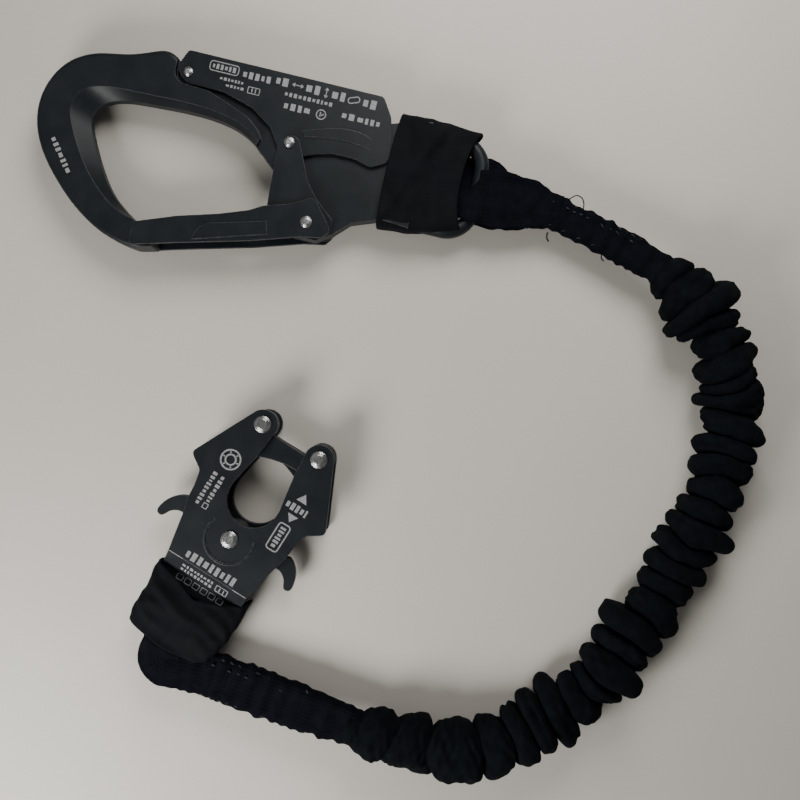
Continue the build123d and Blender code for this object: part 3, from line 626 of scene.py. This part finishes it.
def stitch_rows(name, line, rows, first, last, pitch, top, seed, replaced):
    """Short lock stitches along sewn webbing.  A row is its place across and its stitches' lean in
    radians; top(row) is its height over the webbing's middle."""
    draw = np.random.default_rng(seed)
    tangent, side, up = directions(line)
    along = lengths(line) / MM
    points, faces = [], []
    rings, around = 7, 8
    for row, lean in rows:
        for at in np.arange(first, last, pitch):
            if draw.random() < SUNK_SHARE:
                continue
            i = int(np.interp(at + draw.uniform(-0.25, 0.25), along, np.arange(len(line))))
            lean_here = lean + draw.uniform(-0.4, 0.4)
            run = tangent[i] * math.cos(lean_here) + side[i] * math.sin(lean_here)
            cross = np.cross(up[i], run)
            centre = line[i] + side[i] * (row + draw.uniform(-0.18, 0.18)) * MM + up[i] * top(row) * MM
            long, fat = draw.uniform(0.75, 1.05), draw.uniform(0.24, 0.32)
            base = len(points)
            for u in np.linspace(-1, 1, rings):
                swell = math.sqrt(max(1 - u ** 4, 0.03))
                for a in np.linspace(0, 2 * math.pi, around, endpoint=False):
                    points.append(centre + run * u * long * MM + cross * math.cos(a) * fat * swell * MM
                                  + up[i] * (math.sin(a) * fat * swell + 0.22 * (1 - u * u)) * MM)
            faces += grid_faces(rings, around, base)
            faces.append(tuple(base + j for j in reversed(range(around))))
            faces.append(tuple(base + (rings - 1) * around + j for j in range(around)))
    made = face_out(piece(name, points, faces, THREAD))
    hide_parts(replaced)
    return made


upper_thread = stitch_rows("upper_stitch_thread", upper_line,
                           [(-5.0, 0.5), (4.9, -0.5), (-2.9, 0.3)], 3.0, 40.0, 2.9,
                           lambda row: 2.35 if abs(row) < 4 else 1.9, 31, "upper_stitches")
lower_thread = stitch_rows("lower_stitch_thread", lower_line,
                           [(-7.2, 0.4), (-4.6, 0.2), (7.1, -0.4)], 4.0, 50.0, 3.3,
                           lambda row: 2.2 if abs(row) > 5 else 2.85, 32, "lower_stitches")


def loose_end(name, points, fat):
    """A fine thread that stands out of the webbing's edge."""
    line = even(smooth_line([tuple(c * MM for c in p) for p in points], 12), 0.35 * MM)
    return tube(name, line, 8, THREAD, lambda along, turn: (fat, 0.0))


loose_ends = [
    loose_end("loose_thread_a", [(110.5, 55.4, 9.0), (113.0, 57.8, 9.6), (115.6, 58.0, 9.4),
                                 (117.6, 55.6, 8.8), (117.0, 52.8, 8.6)], 0.22),
    loose_end("loose_thread_b", [(104.0, 44.6, 8.4), (103.2, 42.8, 7.4), (104.6, 41.6, 6.8)], 0.3),
    loose_end("loose_thread_c", [(124.0, 36.8, 8.4), (123.4, 35.0, 7.6), (125.0, 34.4, 6.6)], 0.26),
]


# ---------------------------------------------------------------- keepers
BAND_ROWS, BAND_AROUND = 70, 120
BAND_WALL, BAND_SQUARE = 0.9, 4.0                # thickness of the cloth, and how boxy the tube is
LIP = 0.35                                       # how far the folded edges stand out


def band(name, along_at, centre, half_wide, half_tall, first, last, crumple, seed):
    """A cloth tube with a wall, round a flat connector.  first and last give the two edges' place
    along by place across; centre, half_wide and half_tall are by place along, in millimetres."""
    soft, fine = Waves(seed, 40, 12, 12, 3), Waves(seed + 1, 14, 5, 18, 7)
    turn = np.linspace(0, 2 * math.pi, BAND_AROUND, endpoint=False)[None, :]
    c, s = np.cos(turn), np.sin(turn)
    over = np.sign(c) * np.abs(c) ** (2 / BAND_SQUARE)
    rise = np.sign(s) * np.abs(s) ** (2 / BAND_SQUARE)
    share = np.linspace(0, 1, BAND_ROWS)[:, None]
    a, b = first(over), last(over)
    at = a + (b - a) * share
    ripple = crumple * (0.6 * soft(at, turn) + 0.4 * fine(at, turn))
    rows = []
    for depth in (0.0, BAND_WALL):
        flat = centre(at) + over * (half_wide(at) - depth + 0.5 * ripple)
        tall = rise * (half_tall(at, over) - depth + ripple)
        grid = np.stack(np.broadcast_arrays(at, flat, tall), axis=-1)
        rows.append(grid if depth == 0.0 else grid[::-1])
    lip = 0.5 * (rows[0][-1:] + rows[1][:1])
    mouth = 0.5 * (rows[0][:1] + rows[1][-1:])
    sign = 1 if (b - a).mean() > 0 else -1
    lip[..., 0] += sign * LIP
    mouth[..., 0] -= sign * LIP
    loop = np.concatenate([rows[0], lip, rows[1], mouth])
    points = [along_at(*p) for p in loop.reshape(-1, 3)]
    n = len(loop)
    faces = grid_faces(n, BAND_AROUND)
    last_ring = (n - 1) * BAND_AROUND
    for j in range(BAND_AROUND):
        k = (j + 1) % BAND_AROUND
        faces.append((last_ring + j, last_ring + k, k, j))
    uv = np.stack([loop[..., 0] * MM, np.broadcast_to(turn * 20, loop.shape[:2]) * MM], axis=-1)
    return face_out(piece(name, points, faces, BAND, uv.reshape(-1, 2)))


def fold(at, over, place, lean, wide):
    """A ridge across a band, that runs at a slant."""
    return np.exp(-((at - place - lean * over) / wide) ** 2)


def upper_tall(at, over):
    """Rests on the forged eye, sags over its opening and lies lower towards the strap."""
    base = np.interp(at, [24, 34, 42, 55], [7.1, 7.2, 6.4, 5.7])
    sag = 1.5 * np.exp(-((at - 43) / 7.0) ** 2 - ((over + 0.05) / 0.5) ** 2)
    crease = 0.5 * fold(at, over, 33, 9, 1.6) - 0.4 * fold(at, over, 37, 9, 2.0)
    return base - sag + crease


upper_band = band(
    "upper_keeper_band", lambda x, y, z: tuple(hook(x, y, z)),
    lambda at: np.interp(at, [24, 34, 55], [26.5, 27.2, 29.2]),
    lambda at: np.interp(at, [24, 36, 48, 55], [21.1, 21.2, 19.4, 18.2]),
    upper_tall, lambda over: 24.6 - 0.8 * (1 - over ** 2),
    lambda over: 54.6 - 4.2 * np.clip(1 - over ** 2, 0, 1) ** 0.7, 0.25, 41)
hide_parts("upper_keeper")


def lower_first(over):
    """The mouth over the plates: a shallow V on both faces, drawn up at one edge."""
    return np.interp(18.5 * over, [-18.5, -10, 0, 10, 17, 18.5],
                     [-21.2, -22.8, -26.0, -22.6, -19.4, -16.6])


def lower_tall(at, over):
    """Full over the tail bar and lower towards the plates, with two slanting folds."""
    base = np.interp(at, [-47, -42, -34, -26, -20, -16], [5.9, 6.8, 7.5, 6.6, 5.6, 5.2])
    return base + 0.7 * fold(at, over, -33, -7, 2.2) - 0.6 * fold(at, over, -28, -5, 2.4)


lower_band = band(
    "lower_keeper_band", lambda y, x, z: tuple(latch(x, y, z)),
    lambda at: np.interp(at, [-47, -36, -24], [-0.4, 0.6, 0.4]),
    lambda at: np.interp(at, [-47, -42, -34, -24, -16], [15.2, 16.6, 18.2, 18.6, 18.4]),
    lower_tall, lower_first, lambda over: -45.0 - 1.2 * np.cos(2.2 * over), 0.6, 51)
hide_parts("lower_keeper")


# ---------------------------------------------------------------- printed signs, and a painted highlight on the plate's fold
SIGN_SUNK, SIGN_PROUD = -0.03, 0.05              # bottom and top of a sign, from the metal's face


class Signs:
    """Flat signs in a connector's plan; face(x, y) is the height of the metal under them."""

    def __init__(self, place, face):
        self.place, self.face, self.points, self.faces = place, face, [], []

    def loop(self, outline, height):
        base = len(self.points)
        self.points += [tuple(self.place(x, y, self.face(x, y) + height)) for x, y in outline]
        return list(range(base, base + len(outline)))

    def shape(self, outline):
        """A filled outline."""
        low, high = self.loop(outline, SIGN_SUNK), self.loop(outline, SIGN_PROUD)
        n = len(outline)
        self.faces += [tuple(reversed(low)), tuple(high)]
        self.faces += [(low[i], low[(i + 1) % n], high[(i + 1) % n], high[i]) for i in range(n)]

    def ring(self, outer, inner):
        """The band between two outlines with as many points each."""
        loops = [self.loop(outer, SIGN_SUNK), self.loop(outer, SIGN_PROUD),
                 self.loop(inner, SIGN_PROUD), self.loop(inner, SIGN_SUNK)]
        n = len(outer)
        for a, b in zip(loops, loops[1:] + loops[:1]):
            self.faces += [(a[i], a[(i + 1) % n], b[(i + 1) % n], b[i]) for i in range(n)]

    def made(self, name, body):
        """One piece of all the signs so far, which rides on that body."""
        flat = piece(name, self.points, self.faces, PRINT_AND_FOLD_HIGHLIGHT, smooth=False)
        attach(face_out(flat), body)


def box_at(x, y, w, h, turn=0.0, round_=0.0):
    """A rectangle about a centre, with rounded corners if asked."""
    c, s = math.cos(math.radians(turn)), math.sin(math.radians(turn))
    corners = []
    for sx, sy, start in ((1, 1, 0), (-1, 1, 90), (-1, -1, 180), (1, -1, 270)):
        for k in range(5 if round_ else 1):
            a = math.radians(start + 22.5 * k)
            corners.append((sx * (w / 2 - round_) + round_ * math.cos(a) * bool(round_),
                            sy * (h / 2 - round_) + round_ * math.sin(a) * bool(round_)))
    return [(x + c * u - s * v, y + s * u + c * v) for u, v in corners]


def dashes(signs, x, y, w, h, turn, count, seed):
    """A row of short bars of uneven width, in place of small print."""
    draw = np.random.default_rng(seed)
    widths = draw.uniform(0.5, 1.0, count)
    gap = 0.4 * w / count
    widths *= (w - gap * (count - 1)) / widths.sum()
    c, s = math.cos(math.radians(turn)), math.sin(math.radians(turn))
    at = -w / 2
    for k, wide in enumerate(widths):
        u = at + wide / 2
        signs.shape(box_at(x + c * u, y + s * u, wide, h * (1.0 if k % 3 else 0.72), turn))
        at += wide + gap


def frame_sign(signs, x, y, w, h, line, turn, round_):
    """A rectangular frame with rounded corners."""
    signs.ring(box_at(x, y, w, h, turn, round_),
               box_at(x, y, w - 2 * line, h - 2 * line, turn, max(round_ - line, 0.1)))


def arrow_pair(signs, x, y, long, turn, line=0.35, head=1.1):
    """A double-headed arrow."""
    c, s = math.cos(math.radians(turn)), math.sin(math.radians(turn))
    signs.shape(box_at(x, y, long - 2 * head + 0.2, line, turn))
    for way in (1, -1):
        neck = way * (long / 2 - head)
        tip = [(way * long / 2, 0), (neck, 0.75 * head), (neck, -0.75 * head)][::way]
        signs.shape([(x + c * u - s * v, y + s * u + c * v) for u, v in tip])


def circle(x, y, r, count=24):
    return [(x + r * math.cos(2 * math.pi * k / count), y + r * math.sin(2 * math.pi * k / count))
            for k in range(count)]


def lever_at(u, v):
    """A place on the lever's face, u along its top edge and v across it."""
    return -54.8 + 1.065 * u + 0.036 * v, 43.5 + 0.987 * v


def lever_signs():
    """Two lines of frames, bars and arrows along the lever."""
    signs = Signs(hook, lambda x, y: 4.6)
    frame_sign(signs, *lever_at(11.5, 4.5), 11.0, 3.8, 0.35, 0, 1.2)
    dashes(signs, *lever_at(11.5, 4.5), 8.6, 1.9, 0, 6, 61)
    dashes(signs, *lever_at(23.0, 4.0), 10.2, 2.5, 0, 5, 62)
    dashes(signs, *lever_at(15.0, 0.6), 8.6, 1.1, 0, 7, 63)
    dashes(signs, *lever_at(16.6, -1.5), 6.6, 1.0, 0, 5, 64)
    frame_sign(signs, *lever_at(23.2, -1.2), 4.6, 2.6, 0.3, 0, 0.4)
    for u in (22.6, 23.8):
        signs.shape(box_at(*lever_at(u, -1.2), 0.4, 1.6))
    dashes(signs, *lever_at(31.8, 4.6), 4.4, 3.0, 0, 2, 65)
    arrow_pair(signs, *lever_at(37.3, 4.6), 4.4, 0)
    dashes(signs, *lever_at(42.6, 4.5), 5.0, 3.3, 0, 2, 66)
    arrow_pair(signs, *lever_at(47.3, 4.4), 4.0, 90)
    dashes(signs, *lever_at(51.6, 4.3), 4.8, 3.3, 0, 2, 67)
    frame_sign(signs, *lever_at(57.0, 4.2), 4.6, 2.4, 0.4, 20, 1.1)
    dashes(signs, *lever_at(62.6, 4.1), 4.8, 3.3, 0, 2, 68)
    dashes(signs, *lever_at(42.0, 0.6), 17.6, 1.5, 0, 11, 69)
    dashes(signs, *lever_at(39.0, -3.7), 9.6, 2.5, 0, 4, 70)
    signs.ring(circle(*lever_at(47.5, -3.8), 1.9), circle(*lever_at(47.5, -3.8), 1.5))
    signs.shape(box_at(*lever_at(47.2, -3.8), 0.4, 1.9))
    signs.shape(box_at(*lever_at(48.0, -3.8), 1.0, 0.4, 45))
    dashes(signs, *lever_at(56.6, -2.2), 4.6, 2.3, 0, 2, 71)
    dashes(signs, *lever_at(63.8, -2.4), 8.2, 2.2, 0, 4, 72)
    signs.made("lever_signs", "lever")


def claw_signs():
    """One short row along the claw's rim."""
    signs = Signs(hook, lambda x, y: 5.5)
    start, end = (-96.6, 8.6), (-88.2, -2.4)
    turn = math.degrees(math.atan2(end[1] - start[1], end[0] - start[0]))
    long = math.hypot(end[0] - start[0], end[1] - start[1])
    dashes(signs, (start[0] + end[0]) / 2, (start[1] + end[1]) / 2, long, 2.0, turn, 7, 73)
    signs.made("claw_signs", ROOT)


def plate_height(x, y):
    """Face of the connector's front plate: level, then down the fold to the tail."""
    return float(np.interp(y, [-38.6, -21.6, -14.8, 60], [2.1, 2.1, 7.0, 7.0]))


def plate_signs_and_fold_highlight():
    """A ring with spokes, rows of bars, two triangles and frames on the front plate, and two pale
    strips on its fold that are a painted highlight on the bend.
    """
    signs = Signs(latch, plate_height)
    x, y = -15.0, 24.6
    signs.ring(circle(x, y, 3.9), circle(x, y, 3.3))
    signs.ring(circle(x, y, 2.2), circle(x, y, 1.6))
    for k in range(6):
        spoke = math.radians(60 * k)
        signs.shape(box_at(x + 2.75 * math.cos(spoke), y + 2.75 * math.sin(spoke), 0.7, 0.5, 60 * k))
    dashes(signs, -17.0, 11.4, 13.2, 1.7, 90, 9, 74)
    dashes(signs, -13.9, 12.6, 10.6, 1.7, 90, 7, 75)
    frame_sign(signs, -13.9, 5.6, 2.0, 2.2, 0.3, 0, 0.2)
    signs.shape([(14.8, 28.4), (12.7, 25.2), (16.9, 25.2)])
    dashes(signs, 14.6, 22.3, 8.4, 2.8, 0, 5, 76)
    signs.shape([(14.8, 16.8), (16.9, 19.7), (12.7, 19.7)])
    frame_sign(signs, 14.4, 10.1, 5.0, 11.0, 0.5, 0, 1.3)
    dashes(signs, 14.4, 10.1, 8.0, 2.2, 90, 6, 77)
    dashes(signs, -0.2, -12.3, 20.4, 3.2, 0, 9, 78)
    # painted highlight: two thin pale strips along the plate's fold, where the bend catches the light,
    # drawn in the print colour
    for x in (-13.4, 13.4):
        signs.shape(box_at(x, -14.8, 5.6, 0.3))
    dashes(signs, -3.2, -17.0, 13.0, 1.2, 0, 9, 79)
    dashes(signs, -3.2, -18.9, 13.0, 1.2, 0, 9, 80)
    frame_sign(signs, 7.3, -18.0, 5.0, 3.0, 0.35, 0, 0.4)
    for x in (6.6, 8.2):
        signs.shape(box_at(x, -18.2, 0.4, 1.8))
    for k in range(6):
        frame_sign(signs, -8.4 + 3.4 * k, -22.3, 2.7, 2.5, 0.3, 0, 0.5)
    signs.made("plate_signs_and_fold_highlight", ROOT)


lever_signs()
claw_signs()
plate_signs_and_fold_highlight()

# ---------------------------------------------------------------- bodies and cord
on_cord = [core, upper_loop, upper_sewn, lower_sewn, lower_loop, upper_thread, lower_thread,
           *loose_ends]
for made in [sleeve, upper_band, lower_band, *on_cord]:
    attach(made, ROOT)

# ---------------------------------------------------------------- stage, light and camera
floor_mesh = bpy.data.meshes.new("tabletop")
floor_mesh.from_pydata([(-2, -2, 0), (2, -2, 0), (2, 2, 0), (-2, 2, 0)], [], [(0, 1, 2, 3)])
floor_mesh.materials.append(floor_paint())
floor = bpy.data.objects.new("tabletop", floor_mesh)
bpy.context.scene.collection.objects.link(floor)


def area_light(name, at, target, size, power, colour):
    """A round soft light that the camera doesn't see."""
    lamp = bpy.data.lights.new(name, "AREA")
    lamp.shape, lamp.size, lamp.energy, lamp.color = "DISK", size, power, colour
    made = bpy.data.objects.new(name, lamp)
    made.location = at
    made.visible_camera = False
    made.rotation_euler = (Vector(target) - Vector(at)).to_track_quat("-Z", "Y").to_euler()
    bpy.context.scene.collection.objects.link(made)


area_light("window_left", (-0.2, -0.29, 0.24), (-0.07, -0.13, 0.0), 0.2, 1.95, (1.0, 0.99, 0.97))
area_light("window_back", (0.13, 0.29, 0.27), (0.1, 0.1, 0.0), 0.24, 1.4, (1.0, 0.985, 0.96))
area_light("soft_fill", (-0.45, 0.2, 0.7), (0.0, 0.0, 0.0), 0.7, 0.45, (1.0, 0.98, 0.95))
world = bpy.data.worlds.new("pale_room")
world.use_nodes = True
world.node_tree.nodes["Background"].inputs["Color"].default_value = (1.0, 0.98, 0.95, 1.0)
world.node_tree.nodes["Background"].inputs["Strength"].default_value = 0.12
bpy.context.scene.world = world

lens = bpy.data.cameras.new("camera")
lens.lens, lens.sensor_width = CAMERA_LENS, 36.0
lens.clip_start = 0.01
camera = bpy.data.objects.new("camera", lens)
camera.location = CAMERA_AT
bpy.context.scene.collection.objects.link(camera)
bpy.context.scene.camera = camera
